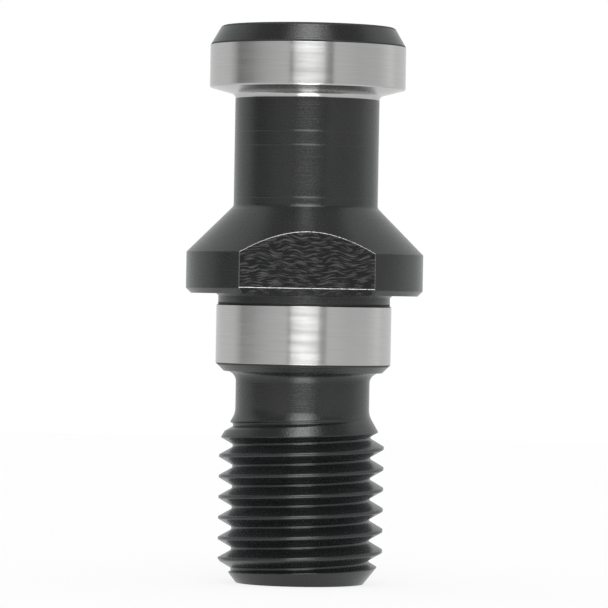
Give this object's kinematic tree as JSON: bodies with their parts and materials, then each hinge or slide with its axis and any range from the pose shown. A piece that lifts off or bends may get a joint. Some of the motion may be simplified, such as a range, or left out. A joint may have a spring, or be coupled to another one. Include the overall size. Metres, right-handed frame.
{
  "type": "pull stud",
  "caption": "Threaded pull stud with a gripped round head, a necked shank, a conical collar with two wrench flats, a ground pilot band and a through coolant bore.",
  "frame": {"origin": "on the stud's axis, in the plane of the collar's underside, the face that seats on the tool holder", "axes": "+Z along the stud's axis towards the gripped head, with the thread on -Z; the wrench flats face -Y and +Y"},
  "size_m": [0.023, 0.019, 0.054],
  "materials": {
    "stud_steel": "case-hardened steel, black-oxide coated all over, with the head's band and underside and the pilot band ground bright"
  },
  "bodies": {
    "root": {"pull_stud": "stud_steel"}
  },
  "joints": []
}
